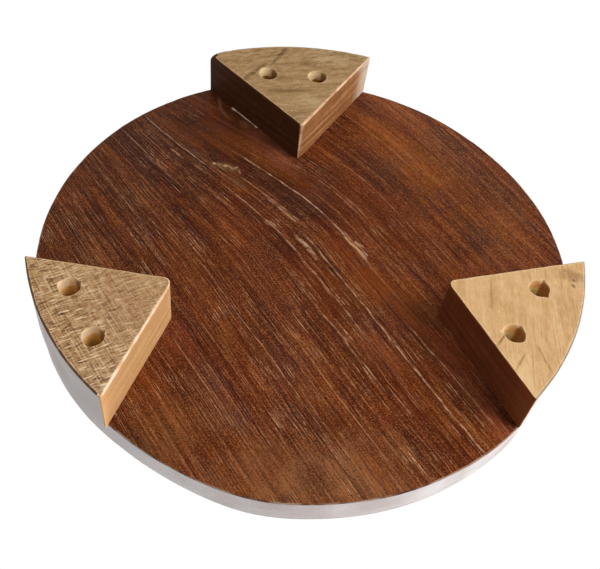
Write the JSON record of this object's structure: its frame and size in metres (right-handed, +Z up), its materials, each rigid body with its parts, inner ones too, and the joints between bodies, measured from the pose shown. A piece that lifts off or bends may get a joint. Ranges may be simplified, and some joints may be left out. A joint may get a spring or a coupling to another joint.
{
  "type": "rolling board",
  "caption": "Round wooden board for rolling dough flat, standing on wedge-shaped legs that are screwed on flush with its rim.",
  "frame": {"origin": "middle of the board's round outline, on the plane that the feet stand on", "axes": "+Z up through the rolling face, as the board stands in use; the back leg points along +Y"},
  "size_m": [0.25, 0.2506, 0.04],
  "materials": {
    "board_wood": "planed and lightly oiled, satin, with a pale worn rim",
    "leg_wood": "sawn and unfinished, matt",
    "screw_steel": "zinc plated, satin"
  },
  "bodies": {
    "root": {"board": "board_wood", "leg_back": "leg_wood", "leg_left": "leg_wood", "leg_right": "leg_wood", "screw_back_1": "screw_steel", "screw_back_2": "screw_steel", "screw_left_1": "screw_steel", "screw_left_2": "screw_steel", "screw_right_1": "screw_steel", "screw_right_2": "screw_steel"}
  },
  "joints": []
}
